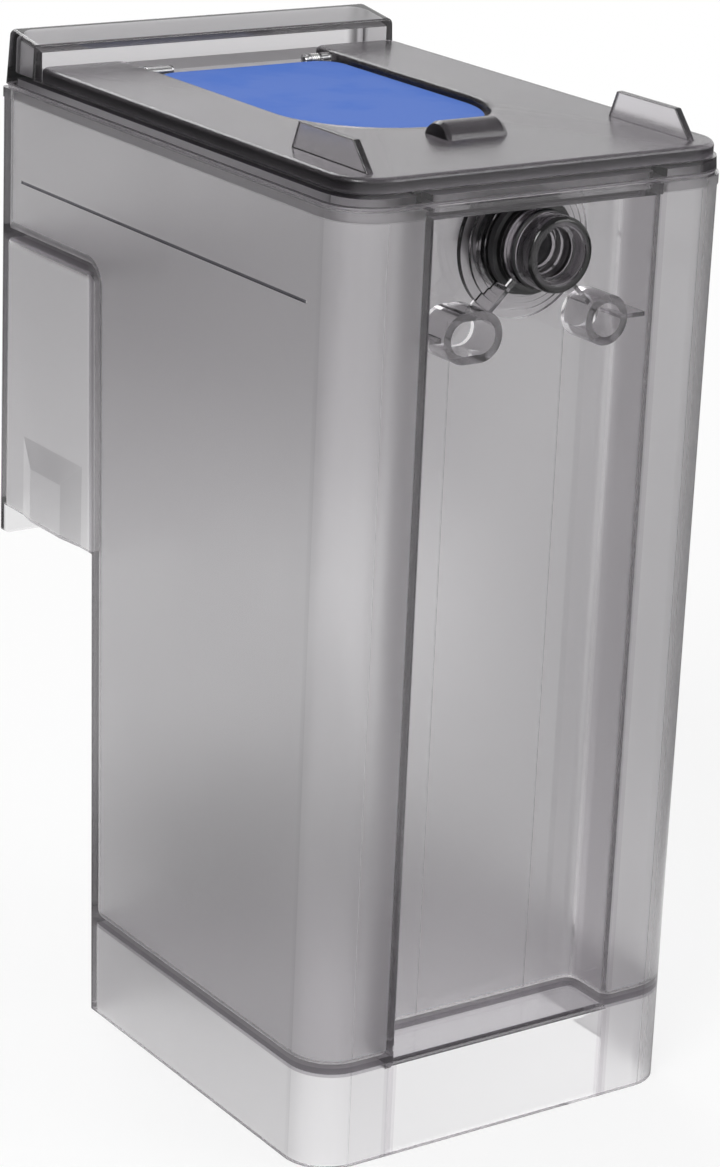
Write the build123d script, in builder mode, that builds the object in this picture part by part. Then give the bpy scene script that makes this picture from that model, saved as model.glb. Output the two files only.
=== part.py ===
from build123d import *

import os

os.makedirs("parts", exist_ok=True)

# Smoke-clear canister tank: a tall chamber with an overhang at the rear, a lift-off lid
# with a hinged flap, and a sprung inlet port in a channel down its front face.
# Millimetres, +Z up, front face towards -Y, origin at the bottom centre of the outer box.

# ---------------------------------------------------------------- driving dimensions
# tank moulding
tank_width = 121.0
tank_depth = 175.2  # front face to the overhang's rear face
rim_top = 259.0
wall = 2.5
corner_radius = 13.0  # front corners
rear_corner = 2.0
rear_inner_corner = 3.0
skirt_inner_corner = 1.0
foot_depth = 118.0  # front face to the rear wall at the foot
rear_lean = 6.7  # how much further back the rear wall is at the overhang
overhang_height = 42.7  # rim down to the underside of the overhang's floor
skirt_height = 27.0  # open skirt under the chamber floor
floor_fillet = 2.0
side_apron_drop = 78.8  # overhang's underside down to the side aprons' lower edge
rear_apron_drop = 9.2  # how much lower the rear apron hangs
rear_apron_round = 2.5
overhang_round = 3.5  # rounding under the overhang, where its floor meets the rear wall
apron_corner = 2.5
rim_proud = 0.3
rim_height = 2.7

# channel down the front face
channel_width = 69.0
channel_depth = 15.0
channel_corner = 3.0
channel_lip = 2.0  # rounding of the channel's mouth
ledge_rise = 1.0  # skirt's top up to the channel's ledge
channel_shelf = 3.0  # rim down to the channel's ceiling
ceiling_thickness = 1.4

# marks on the tank
level_drop = 25.0  # rim down to the level line
level_start = 17.6
level_end = 163.7
level_height = 0.8
level_cut = 0.6
seam_line_inset = 11.7  # mould lines beside the front corners
panel_line_x = 18.0  # mould lines on the channel's back
mark_width = 0.35
mark_cut = 0.15

# raised pads low on the side aprons
pad_rise = 1.2
pad_front = 127.0
pad_rear = 160.4
pad_height = 23.5
pad_face_front = 136.9
pad_face_rear = 154.2
pad_face_height = 15.6

# port: stations are measured back from the tank's front face
port_drop = 14.2  # rim top down to the port's axis
nose_reach = 6.0
nose_radius = 9.9
nose_round = 1.4
mouth_radius = 7.5
mouth_depth = 4.5
mouth_round = 0.4
bore_radius = 6.6
seat_radius = 5.2
seat_start = 3.8
seat_end = 5.2
tube_radius = 8.4  # nozzle tube inside the sleeve
tube_flange = 10.6
tube_flange_start = 4.6
sleeve_lip = 1.2  # sleeve's lip over the tube's end
sleeve_gap = 0.05
barrel_radius = 8.8
barrel_bore = 7.2
barrel_end = 27.0
groove_start = 0.4
groove_end = 1.8
groove_radius = 9.0
shoulder_radius = 10.5
flange_radius = 11.5
flange_start = 4.2
flange_end = 6.0
lug_width = 6.0
lug_start = 2.7
lug_rise = 1.0
key_gap = 0.3  # flat tops under the channel's ceiling
seal_radius = 12.7
seal_thickness = 2.0
boss_radius = 13.5
boss_height = 3.5
thread_clearance = 0.05
slip_clearance = 0.15
o_ring_gap = 0.05
o_ring_section = 0.6

# bracket round the port
collar_radii = (13.6, 15.4, 17.4, 19.8)
collar_fronts = (8.0, 8.4, 8.9, 9.9)
web_thickness = 1.2
web_front = 2.5
web_rear = 10.5
web_reach = 24.0
web_arm_start = 10.9
web_arm_end = 13.2
web_arm_rear = 3.9
post_offset = 21.0
post_drop = 20.5
post_radius = 6.7
post_bore = 4.5
post_slot = 4.6  # extra length of the oblong post
post_front = 1.0
post_length = 10.6
gusset_thickness = 1.2
gusset_root = (2.1, 11.0)
gusset_tip = (2.1, 11.0)
gusset_sink = 1.5
gusset_gap = 0.3

# check valve
poppet_radius = 6.2
poppet_disc = 1.8
poppet_neck = 3.4
poppet_head = 4.4
poppet_head_length = 0.9
poppet_edge = 0.3
washer_thickness = 0.85
stem_radius = 1.5
stem_clearance = 0.06
stem_overrun = 1.5
valve_gap = 0.3
spring_radius = 2.4
spring_wire = 0.7
spring_turns = 6
retainer_thickness = 2.0
retainer_hub = 3.0
retainer_rim = 1.2
retainer_spoke = 1.6
retainer_inset = 2.5
retainer_gap = 0.05
nut_flats = 21.0
nut_length = 6.0
nut_edge = 0.5
inner_washer_radius = 10.4
inner_washer_thickness = 1.2

# lid
lid_gap = 1.0  # rim top to the lid's underside
lid_inset = 0.4  # lid's edge behind the tank's walls
lid_band = 3.4  # height of the lid's lower moulding
lid_floor = 1.8
plug_clearance = 0.5
plug_wall = 1.6
plug_depth = 4.0
gasket_thickness = 0.7
gasket_inset = 0.8
gasket_width = 1.7
hood_depth = 17.0
hood_rear_wall = 2.5
hood_wall = 3.3
hood_height = 15.6  # lid underside to the roof's rear edge
hood_fall = 2.5  # roof's fall from rear to front
hood_roof = 2.3
hood_round = 1.7
lid_draft = 3.0
hood_inner_corner = 5.0
hood_lip_round = 0.7
slab_height = 3.9
slab_inset = 1.8
slab_front_inset = 1.2
slab_corner = 11.5
slab_rear_corner = 3.5
slab_round = 1.4
slab_gap = 0.3  # slab to the hood's front
bay_width = 62.0  # D-shaped cut-out for the flap
bay_front = 49.5
bay_corner = 30.0
fin_offset = 50.0
fin_thickness = 2.2
fin_height = 7.3
fin_front = 7.0
fin_rear = 41.3
fin_front_rake = 6.5
fin_rear_rake = 3.0
fin_round = 0.5
ridge_width = 19.0
ridge_front = 31.6
ridge_rear = 43.0
ridge_height = 4.0
ridge_slope = 1.2
ridge_sink = 1.8  # how deep added features root in the plate

# flap
flap_clearance = 0.8
flap_thickness = 0.9  # carrier plate
panel_thickness = 0.7
panel_inset = 0.5
flap_lift = 0.4  # lid floor up to the flap's underside
flap_rear = 145.9
flap_rear_corner = 8.0
panel_edge = 0.3
hinge_station = 148.0
hinge_rise = 2.0  # lid floor up to the hinge's axis
knuckle_radius = 1.65
knuckle_start = 22.0
pin_radius = 0.8
pin_clearance = 0.05
pin_bite = 3.2
pin_fit = 0.02
coil_start = 23.6
coil_space = 3.8
coil_gap = 0.3
coil_radius = 1.3
coil_wire = 0.5
coil_turns = 4
coil_rear_leg = 5.0
coil_front_leg = 2.0
fill_station = 97.0
fill_radius = 18.0
fill_plug_clearance = 0.8
fill_plug_wall = 1.5
fill_plug_depth = 1.4
flap_gasket_inset = 0.8
flap_gasket_width = 2.2
flap_gasket_groove = 1.0
flap_gasket_proud = 0.1
groove_play = 0.1

# ---------------------------------------------------------------- derived places
half_width = tank_width / 2
line_centre = (rim_top - rim_height) / 2
line_length = rim_top - rim_height
overhang_z = rim_top - overhang_height
side_apron_z = overhang_z - side_apron_drop
rear_apron_z = side_apron_z - rear_apron_drop
ledge_z = skirt_height + ledge_rise
channel_top = rim_top - channel_shelf
level_z = rim_top - level_drop
pad_top = side_apron_z + pad_height
pad_face_top = side_apron_z + pad_face_height
front_y = (nose_reach - tank_depth - rim_proud) / 2
rear_y = front_y + tank_depth
centre_y = (front_y + rear_y) / 2
floor_top = skirt_height + wall
channel_half = channel_width / 2
channel_back = front_y + channel_depth
inner_back = channel_back + wall
port_z = rim_top - port_drop
boss_front = channel_back - boss_height
barrel_hole = barrel_radius + slip_clearance
key_z = channel_top - key_gap
lid_z = rim_top + lid_gap
lid_top = lid_z + lid_band
slab_top = lid_top + slab_height
hood_front = rear_y - hood_depth
hood_top = lid_z + hood_height
slab_rear = hood_front - slab_gap
slab_half = half_width - slab_inset
bay_half = bay_width / 2
hinge_y = front_y + hinge_station
hinge_z = lid_top + hinge_rise
flap_z = lid_top + flap_lift
panel_z = flap_z + flap_thickness
panel_line_top = port_z - collar_radii[3]
flap_half = bay_half - flap_clearance
fill_y = front_y + fill_station
post_z = port_z - post_drop
port_axis = Axis((0, front_y, port_z), (0, 1, 0))
port_plane = Plane((0, front_y, port_z), x_dir=(1, 0, 0), z_dir=(0, 0, 1))  # radius, station
overrun = 1.0  # how far a cut runs past the face it opens


def rear_wall(z, inset=0.0):
    """Return the rear wall's Y at height z, moved into the tank by inset."""
    return front_y + foot_depth + rear_lean * z / overhang_z - inset


def steep(edge):
    """Tell whether an edge runs up the tank."""
    return abs(edge.tangent_at(0.5).Z) > 0.9


def facing(distance):
    """Return the plane behind the front face by distance whose normal looks out forwards."""
    return Plane.XZ.offset(-front_y - distance)


def footprint(z, inset, rear_radius):
    """Return the tank's plan at height z, drawn in from its walls by inset."""
    with BuildSketch(Plane.XY.offset(z)) as plan:
        with Locations((0, centre_y)):
            Rectangle(tank_width - 2 * inset, tank_depth - 2 * inset)
        fillet(plan.vertices().group_by(Axis.Y)[0], corner_radius - inset)
        fillet(plan.vertices().group_by(Axis.Y)[-1], rear_radius)
    return plan.sketch


def mouth(z, inset):
    """Return the tank mouth's outline at height z, drawn in from the walls by inset."""
    with BuildSketch(Plane.XY.offset(z)) as outline:
        add(footprint(0, wall + inset, rear_inner_corner - inset))
        with Locations((0, front_y)):
            RectangleRounded(
                channel_width + 2 * (wall + inset),
                2 * (channel_depth + wall + inset),
                channel_corner + wall + inset,
                mode=Mode.SUBTRACT,
            )
    return outline.sketch


def bay(z, inset, front, rear, corner, rear_corner):
    """Return the D-shaped outline shared by the bay and the flap at height z."""
    with BuildSketch(Plane.XY.offset(z)) as outline:
        with Locations((0, front_y + (front + rear) / 2)):
            Rectangle(bay_width - 2 * inset, rear - front)
        corners = outline.vertices().group_by(Axis.Y)
        fillet(corners[0], corner)
        if rear_corner > 0:
            fillet(outline.vertices().group_by(Axis.Y)[-1], rear_corner)
    return outline.sketch


# ---------------------------------------------------------------- the tank's hollows
with BuildPart() as chamber_void:
    with BuildSketch(Plane.YZ) as chamber_profile:
        with BuildLine():
            Polyline(
                (front_y + wall, floor_top),
                (rear_wall(floor_top, wall), floor_top),
                (rear_wall(overhang_z + wall, wall), overhang_z + wall),
                (rear_y - wall, overhang_z + wall),
                (rear_y - wall, rim_top + overrun),
                (front_y + wall, rim_top + overrun),
                close=True,
            )
        make_face()
        step_corners = chamber_profile.vertices().filter_by(
            lambda v: abs(v.Y - overhang_z - wall) < mark_cut
        )
        fillet(step_corners.sort_by(Axis.X)[0], overhang_round + wall)
    extrude(amount=half_width - wall, both=True)
    fillet(chamber_void.edges().filter_by(steep).sort_by(Axis.Y)[:2], corner_radius - wall)
    fillet(chamber_void.edges().filter_by(steep).sort_by(Axis.Y)[-4:], rear_inner_corner)
    with BuildSketch(Plane.XY) as channel_block:
        with Locations((0, front_y)):
            RectangleRounded(
                channel_width + 2 * wall,
                2 * (channel_depth + wall),
                channel_corner + wall,
            )
    extrude(amount=rim_top + 2 * overrun, mode=Mode.SUBTRACT)
    fillet(chamber_void.faces().sort_by(Axis.Z)[0].edges(), floor_fillet)

with BuildPart() as skirt_void:
    with BuildSketch(Plane.YZ):
        with BuildLine():
            Polyline(
                (front_y + wall, -overrun),
                (rear_wall(-overrun, wall), -overrun),
                (rear_wall(skirt_height, wall), skirt_height),
                (front_y + wall, skirt_height),
                close=True,
            )
        make_face()
    extrude(amount=half_width - wall, both=True)
    fillet(skirt_void.edges().filter_by(steep).sort_by(Axis.Y)[:2], corner_radius - wall)
    fillet(skirt_void.edges().filter_by(steep).sort_by(Axis.Y)[-2:], skirt_inner_corner)
    with BuildSketch(Plane.XY.offset(ledge_z - wall)):
        with Locations((0, front_y)):
            Rectangle(channel_width + 2 * wall, 2 * (channel_depth + wall))
    extrude(amount=skirt_height - ledge_z + wall + overrun, mode=Mode.SUBTRACT)

with BuildPart() as apron_void:
    with BuildSketch(Plane.YZ) as apron_profile:
        with BuildLine():
            Polyline(
                (rear_wall(side_apron_z - overrun), side_apron_z - overrun),
                (rear_y - wall, side_apron_z - overrun),
                (rear_y - wall, overhang_z),
                (rear_wall(overhang_z), overhang_z),
                close=True,
            )
        make_face()
        fillet(apron_profile.vertices().group_by(Axis.Y)[-1].sort_by(Axis.X)[0], overhang_round)
    extrude(amount=half_width - wall, both=True)
    fillet(apron_void.edges().filter_by(steep).sort_by(Axis.Y)[:2], apron_corner)
    fillet(apron_void.edges().filter_by(steep).sort_by(Axis.Y)[-2:], skirt_inner_corner)

with BuildPart() as channel_void:
    with BuildSketch(Plane.XY.offset(ledge_z)):
        with Locations((0, front_y)):
            RectangleRounded(channel_width, 2 * channel_depth, channel_corner)
    extrude(amount=channel_top - ledge_z)

# flat rear apron, hanging lower than the side aprons
with BuildPart() as rear_apron:
    extrude(
        to_extrude=footprint(rear_apron_z, 0, rear_corner),
        amount=side_apron_z - rear_apron_z,
    )
    with BuildSketch(facing(tank_depth)):
        with Locations((0, side_apron_z)):
            RectangleRounded(tank_width, 2 * rear_apron_drop, rear_apron_round)
    extrude(amount=wall, mode=Mode.INTERSECT)

# ---------------------------------------------------------------- tank moulding
with BuildPart() as tank_body:
    with BuildSketch(Plane.YZ):
        with BuildLine():
            Polyline(
                (front_y, 0),
                (rear_wall(0), 0),
                (rear_wall(side_apron_z), side_apron_z),
                (rear_y, side_apron_z),
                (rear_y, rim_top),
                (front_y, rim_top),
                close=True,
            )
        make_face()
    extrude(amount=half_width, both=True)
    fillet(tank_body.edges().filter_by(steep).sort_by(Axis.Y)[:2], corner_radius)
    fillet(tank_body.edges().filter_by(steep).sort_by(Axis.Y)[-4:], rear_corner)
    # rim band, a hair proud of the walls
    extrude(
        to_extrude=footprint(rim_top - rim_height, -rim_proud, rear_corner + rim_proud),
        amount=rim_height,
    )
    add(apron_void.part, mode=Mode.SUBTRACT)
    add(chamber_void.part, mode=Mode.SUBTRACT)
    add(skirt_void.part, mode=Mode.SUBTRACT)
    add(rear_apron.part)
    add(channel_void.part, mode=Mode.SUBTRACT)
    # rounded mouth of the channel
    mouth_edges = tank_body.edges().filter_by(
        lambda e: abs(e.center().Y - front_y) < mark_cut
        and e.center().Z < channel_top - overrun
        and e.center().Z > ledge_z - mark_cut
        and abs(e.center().X) < channel_half + mark_cut
    )
    fillet(mouth_edges, channel_lip)
    # boss and hole for the port
    with BuildSketch(facing(channel_depth)):
        with Locations((0, port_z)):
            Circle(boss_radius)
    extrude(amount=boss_height)
    with BuildSketch(facing(channel_depth + wall + overrun)):
        with Locations((0, port_z)):
            Circle(barrel_hole)
    extrude(amount=channel_depth, mode=Mode.SUBTRACT)
    # shallow recess over the channel's ceiling, inside the rim
    with BuildSketch(Plane.XY.offset(channel_top + ceiling_thickness)):
        with Locations((0, (front_y + wall + channel_back) / 2)):
            RectangleRounded(channel_width, channel_depth - wall, channel_corner)
    extrude(amount=channel_shelf - ceiling_thickness, mode=Mode.SUBTRACT)
    # raised pads on the side aprons
    with BuildSketch(Plane.YZ.offset(half_width)):
        with Locations((front_y + (pad_front + pad_rear) / 2, (side_apron_z + pad_top) / 2)):
            Rectangle(pad_rear - pad_front, pad_top - side_apron_z)
    with BuildSketch(Plane.YZ.offset(half_width + pad_rise)):
        with Locations(
            (front_y + (pad_face_front + pad_face_rear) / 2, (side_apron_z + pad_face_top) / 2)
        ):
            Rectangle(pad_face_rear - pad_face_front, pad_face_top - side_apron_z)
    loft()
    with BuildSketch(Plane.YZ.offset(-half_width)):
        with Locations((front_y + (pad_front + pad_rear) / 2, (side_apron_z + pad_top) / 2)):
            Rectangle(pad_rear - pad_front, pad_top - side_apron_z)
    with BuildSketch(Plane.YZ.offset(-half_width - pad_rise)):
        with Locations(
            (front_y + (pad_face_front + pad_face_rear) / 2, (side_apron_z + pad_face_top) / 2)
        ):
            Rectangle(pad_face_rear - pad_face_front, pad_face_top - side_apron_z)
    loft()
    # fine mould lines beside the front corners and on the channel's back
    with Locations(
        (half_width - seam_line_inset, front_y, line_centre),
        (seam_line_inset - half_width, front_y, line_centre),
    ):
        Box(mark_width, 2 * mark_cut, line_length, mode=Mode.SUBTRACT)
    with Locations(
        (panel_line_x, channel_back, (ledge_z + panel_line_top) / 2),
        (-panel_line_x, channel_back, (ledge_z + panel_line_top) / 2),
    ):
        Box(mark_width, 2 * mark_cut, panel_line_top - ledge_z, mode=Mode.SUBTRACT)
    # level line cut into both sides
    with Locations(
        (half_width, front_y + (level_start + level_end) / 2, level_z),
        (-half_width, front_y + (level_start + level_end) / 2, level_z),
    ):
        Box(2 * level_cut, level_end - level_start, level_height, mode=Mode.SUBTRACT)

tank_body.part.label = "tank_body"
export_step(tank_body.part, "parts/tank_body.step")

# ---------------------------------------------------------------- port
with BuildPart() as port_bracket:
    with BuildSketch(port_plane):
        with BuildLine():
            Polyline(
                (barrel_hole, collar_fronts[0]),
                (collar_radii[0], collar_fronts[0]),
                (collar_radii[0], collar_fronts[1]),
                (collar_radii[1], collar_fronts[1]),
                (collar_radii[1], collar_fronts[2]),
                (collar_radii[2], collar_fronts[2]),
                (collar_radii[2], collar_fronts[3]),
                (collar_radii[3], collar_fronts[3]),
                (collar_radii[3], channel_depth - boss_height),
                (barrel_hole, channel_depth - boss_height),
                close=True,
            )
        make_face()
    revolve(axis=port_axis)
    # posts, their bores and the thin gussets to the channel's sides
    with BuildSketch(facing(post_front + post_length)):
        with Locations((post_offset, post_z)):
            Circle(post_radius)
        with Locations((-post_offset, post_z)):
            SlotCenterToCenter(post_slot, 2 * post_radius)
    extrude(amount=post_length)
    for side, reach in ((1, post_radius), (-1, post_radius + post_slot / 2)):
        # radial web with an arm that reaches over the nozzle's flange
        radial = Vector(side * post_offset, 0, -post_drop).normalized()
        web_plane = Plane(
            (0, front_y, port_z),
            x_dir=(radial.X, 0, radial.Z),
            z_dir=(-radial.Z, 0, radial.X),
        )
        with BuildSketch(web_plane):
            with BuildLine():
                Polyline(
                    (web_arm_start, web_front),
                    (web_reach, web_front),
                    (web_reach, web_rear),
                    (web_arm_end, web_rear),
                    (web_arm_end, web_arm_rear),
                    (web_arm_start, web_arm_rear),
                    close=True,
                )
            make_face()
        extrude(amount=web_thickness / 2, both=True)
        with BuildSketch(Plane.XY.offset(post_z)):
            with BuildLine():
                Polyline(
                    (side * (post_offset + reach - gusset_sink), front_y + gusset_root[0]),
                    (side * (channel_half - gusset_gap), front_y + gusset_tip[0]),
                    (side * (channel_half - gusset_gap), front_y + gusset_tip[1]),
                    (side * (post_offset + reach - gusset_sink), front_y + gusset_root[1]),
                    close=True,
                )
            make_face()
        extrude(amount=gusset_thickness / 2, both=True)
    with BuildSketch(facing(post_front + post_length)):
        with Locations((post_offset, post_z)):
            Circle(post_bore)
        with Locations((-post_offset, post_z)):
            SlotCenterToCenter(post_slot, 2 * post_bore)
    extrude(amount=post_length, mode=Mode.SUBTRACT)
    # flat top under the channel's ceiling
    with Locations((0, channel_back, key_z)):
        Box(
            channel_width,
            2 * channel_depth,
            channel_depth,
            align=(Align.CENTER, Align.CENTER, Align.MIN),
            mode=Mode.SUBTRACT,
        )

port_bracket.part.label = "port_bracket"
export_step(port_bracket.part, "parts/port_bracket.step")

with BuildPart() as port_seal:
    with BuildSketch(facing(flange_end + seal_thickness)):
        with Locations((0, port_z)):
            Circle(seal_radius)
            Circle(barrel_hole, mode=Mode.SUBTRACT)
    extrude(amount=seal_thickness)
    with Locations((0, channel_back, key_z)):
        Box(
            channel_width,
            2 * channel_depth,
            channel_depth,
            align=(Align.CENTER, Align.CENTER, Align.MIN),
            mode=Mode.SUBTRACT,
        )

port_seal.part.label = "port_seal"
export_step(port_seal.part, "parts/port_seal.step")

with BuildPart() as port_nozzle:
    with BuildSketch(port_plane):
        with BuildLine():
            Polyline(
                (mouth_radius, sleeve_lip - nose_reach),
                (tube_radius, sleeve_lip - nose_reach),
                (tube_radius, tube_flange_start),
                (tube_flange, tube_flange_start),
                (tube_flange, flange_end),
                (barrel_radius, flange_end),
                (barrel_radius, barrel_end),
                (barrel_bore, barrel_end),
                (barrel_bore, seat_end),
                (seat_radius, seat_end),
                (seat_radius, seat_start),
                (bore_radius, seat_start),
                (bore_radius, mouth_depth - nose_reach),
                (mouth_radius, mouth_depth - nose_reach),
                close=True,
            )
        make_face()
    revolve(axis=port_axis)

port_nozzle.part.label = "port_nozzle"
export_step(port_nozzle.part, "parts/port_nozzle.step")

with BuildPart() as nozzle_sleeve:
    with BuildSketch(port_plane) as sleeve_profile:
        with BuildLine():
            Polyline(
                (mouth_radius, -nose_reach),
                (nose_radius, -nose_reach),
                (nose_radius, groove_start),
                (groove_radius, groove_start),
                (groove_radius, groove_end),
                (shoulder_radius, groove_end),
                (shoulder_radius, flange_start),
                (flange_radius, flange_start),
                (flange_radius, flange_end),
                (tube_flange + sleeve_gap, flange_end),
                (tube_flange + sleeve_gap, tube_flange_start - sleeve_gap),
                (tube_radius + sleeve_gap, tube_flange_start - sleeve_gap),
                (tube_radius + sleeve_gap, sleeve_lip - nose_reach - sleeve_gap),
                (mouth_radius, sleeve_lip - nose_reach - sleeve_gap),
                close=True,
            )
        make_face()
        nose_corners = sleeve_profile.vertices().group_by(Axis.Y)[0].sort_by(Axis.X)
        fillet(nose_corners[-1], nose_round)
        nose_corners = sleeve_profile.vertices().group_by(Axis.Y)[0].sort_by(Axis.X)
        fillet(nose_corners[0], mouth_round)
    revolve(axis=port_axis)
    # key on top, under the channel's ceiling
    with BuildSketch(facing(flange_end)):
        with Locations((0, port_z + (tube_flange + sleeve_gap + flange_radius + lug_rise) / 2)):
            Rectangle(lug_width, flange_radius + lug_rise - tube_flange - sleeve_gap)
    extrude(amount=flange_end - lug_start)
    with BuildSketch(facing(tube_flange_start - sleeve_gap)):
        with Locations((0, port_z + (shoulder_radius - sleeve_gap + tube_flange) / 2)):
            Rectangle(lug_width, tube_flange - shoulder_radius + 2 * sleeve_gap)
    extrude(amount=tube_flange_start - sleeve_gap - lug_start)
    with Locations((0, channel_back, key_z)):
        Box(
            channel_width,
            2 * channel_depth,
            channel_depth,
            align=(Align.CENTER, Align.CENTER, Align.MIN),
            mode=Mode.SUBTRACT,
        )

nozzle_sleeve.part.label = "nozzle_sleeve"
export_step(nozzle_sleeve.part, "parts/nozzle_sleeve.step")

with BuildPart() as nozzle_o_ring:
    with BuildSketch(port_plane):
        with Locations((groove_radius + o_ring_section + o_ring_gap, (groove_start + groove_end) / 2)):
            Circle(o_ring_section)
    revolve(axis=port_axis)

nozzle_o_ring.part.label = "nozzle_o_ring"
export_step(nozzle_o_ring.part, "parts/nozzle_o_ring.step")

with BuildPart() as port_inner_washer:
    with BuildSketch(facing(channel_depth + wall + inner_washer_thickness)):
        with Locations((0, port_z)):
            Circle(inner_washer_radius)
            Circle(barrel_hole, mode=Mode.SUBTRACT)
    extrude(amount=inner_washer_thickness)

port_inner_washer.part.label = "port_inner_washer"
export_step(port_inner_washer.part, "parts/port_inner_washer.step")

with BuildPart() as port_lock_nut:
    with BuildSketch(facing(channel_depth + wall + inner_washer_thickness + nut_length)):
        with Locations((0, port_z)):
            RegularPolygon(nut_flats / 2, 6, major_radius=False)
    extrude(amount=nut_length)
    chamfer(port_lock_nut.faces().sort_by(Axis.Y)[-1].edges(), nut_edge)
    with BuildSketch(facing(channel_depth + wall + inner_washer_thickness + nut_length)):
        with Locations((0, port_z)):
            Circle(barrel_radius + thread_clearance)
    extrude(amount=nut_length, mode=Mode.SUBTRACT)

port_lock_nut.part.label = "port_lock_nut"
export_step(port_lock_nut.part, "parts/port_lock_nut.step")

# ---------------------------------------------------------------- check valve
washer_start = seat_end + valve_gap
disc_start = washer_start + washer_thickness
disc_end = disc_start + poppet_disc
retainer_end = barrel_end - retainer_inset
retainer_start = retainer_end - retainer_thickness

with BuildPart() as valve_poppet:
    with BuildSketch(port_plane) as poppet_profile:
        with BuildLine():
            Polyline(
                (0, washer_start - poppet_head_length),
                (poppet_head, washer_start - poppet_head_length),
                (poppet_head, washer_start),
                (poppet_neck, washer_start),
                (poppet_neck, disc_start),
                (poppet_radius, disc_start),
                (poppet_radius, disc_end),
                (stem_radius, disc_end),
                (stem_radius, retainer_end + stem_overrun),
                (0, retainer_end + stem_overrun),
                close=True,
            )
        make_face()
        head_corners = poppet_profile.vertices().group_by(Axis.Y)[0].sort_by(Axis.X)
        chamfer(head_corners[-1], poppet_edge)
    revolve(axis=port_axis)

valve_poppet.part.label = "valve_poppet"
export_step(valve_poppet.part, "parts/valve_poppet.step")

with BuildPart() as poppet_washer:
    with BuildSketch(facing(disc_start)):
        with Locations((0, port_z)):
            Circle(poppet_radius)
            Circle(poppet_neck, mode=Mode.SUBTRACT)
    extrude(amount=washer_thickness)

poppet_washer.part.label = "poppet_washer"
export_step(poppet_washer.part, "parts/poppet_washer.step")

with BuildPart() as valve_retainer:
    with BuildSketch(facing(retainer_end)):
        with Locations((0, port_z)):
            Circle(barrel_bore - retainer_gap)
            Circle(barrel_bore - retainer_gap - retainer_rim, mode=Mode.SUBTRACT)
            with PolarLocations((barrel_bore - retainer_gap) / 2, 3, start_angle=90):
                Rectangle(barrel_bore - retainer_rim, retainer_spoke)
            Circle(retainer_hub)
            Circle(stem_radius + stem_clearance, mode=Mode.SUBTRACT)
    extrude(amount=retainer_thickness)

valve_retainer.part.label = "valve_retainer"
export_step(valve_retainer.part, "parts/valve_retainer.step")

spring_start = disc_end + valve_gap + spring_wire / 2
spring_length = retainer_start - spring_wire / 2 - spring_start

with BuildPart() as valve_spring:
    with BuildLine() as spring_path:
        Helix(
            pitch=spring_length / spring_turns,
            height=spring_length,
            radius=spring_radius,
            center=(0, front_y + spring_start, port_z),
            direction=(0, 1, 0),
        )
    with BuildSketch(Plane(spring_path.line @ 0, z_dir=spring_path.line % 0)):
        Circle(spring_wire / 2)
    sweep(path=spring_path.line, is_frenet=True)

valve_spring.part.label = "valve_spring"
export_step(valve_spring.part, "parts/valve_spring.step")

# ---------------------------------------------------------------- lid
with BuildPart() as lid_shell:
    with BuildSketch(Plane.XY.offset(lid_z)):
        with Locations((0, centre_y)):
            Rectangle(tank_width - 2 * lid_inset, tank_depth - 2 * lid_inset)
    extrude(amount=hood_height, taper=lid_draft)
    fillet(lid_shell.edges().filter_by(steep).sort_by(Axis.Y)[:2], corner_radius - lid_inset)
    fillet(lid_shell.edges().filter_by(steep).sort_by(Axis.Y)[-2:], rear_corner)
    # everything above the band is cut away in front of the hood and over its roof
    with BuildSketch(Plane.YZ):
        with BuildLine():
            Polyline(
                (front_y - overrun, lid_top),
                (hood_front, lid_top),
                (hood_front, hood_top - hood_fall),
                (rear_y, hood_top),
                (rear_y, hood_top + overrun),
                (front_y - overrun, hood_top + overrun),
                close=True,
            )
        make_face()
    extrude(amount=tank_width, both=True, mode=Mode.SUBTRACT)
    roof_edges = lid_shell.faces().sort_by(Axis.Z)[-1].edges()
    fillet(roof_edges.sort_by(Axis.Y)[1:], hood_round)
    lip_edge = lid_shell.edges().filter_by(Axis.X).sort_by(
        lambda e: abs(e.center().Y - hood_front) + abs(e.center().Z - hood_top + hood_fall)
    )
    fillet(lip_edge[0], hood_lip_round)

with BuildPart() as hood_void:
    with BuildSketch(Plane.YZ):
        with BuildLine():
            Polyline(
                (hood_front - overrun, lid_top),
                (hood_front - overrun, hood_top - hood_fall - hood_roof),
                (rear_y - hood_rear_wall, hood_top - hood_roof),
                (rear_y - hood_rear_wall, lid_top),
                close=True,
            )
        make_face()
    extrude(amount=half_width - hood_wall, both=True)
    fillet(hood_void.edges().filter_by(steep).sort_by(Axis.Y)[-2:], hood_inner_corner)

with BuildPart() as lid_base:
    add(lid_shell.part)
    add(hood_void.part, mode=Mode.SUBTRACT)
    # plug that drops into the tank's mouth, hollow below the floor
    extrude(to_extrude=mouth(lid_z - plug_depth, plug_clearance), amount=plug_depth)
    extrude(
        to_extrude=mouth(lid_z - plug_depth, plug_clearance + plug_wall),
        amount=plug_depth + lid_band - lid_floor,
        mode=Mode.SUBTRACT,
    )
    # recess in the underside over the channel
    with BuildSketch(Plane.XY.offset(lid_z)):
        with Locations((0, (front_y + wall + channel_back) / 2)):
            RectangleRounded(channel_width, channel_depth - wall, channel_corner)
    extrude(amount=lid_band - lid_floor, mode=Mode.SUBTRACT)
    # filling hole and the groove round it
    with BuildSketch(Plane.XY.offset(lid_z)):
        with Locations((0, fill_y)):
            Circle(fill_radius)
    extrude(amount=lid_band, mode=Mode.SUBTRACT)
    with BuildSketch(Plane.XY.offset(lid_top - flap_gasket_groove)):
        with Locations((0, fill_y)):
            Circle(fill_radius + flap_gasket_inset + flap_gasket_width + groove_play)
            Circle(fill_radius + flap_gasket_inset - groove_play, mode=Mode.SUBTRACT)
    extrude(amount=flap_gasket_groove, mode=Mode.SUBTRACT)

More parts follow.
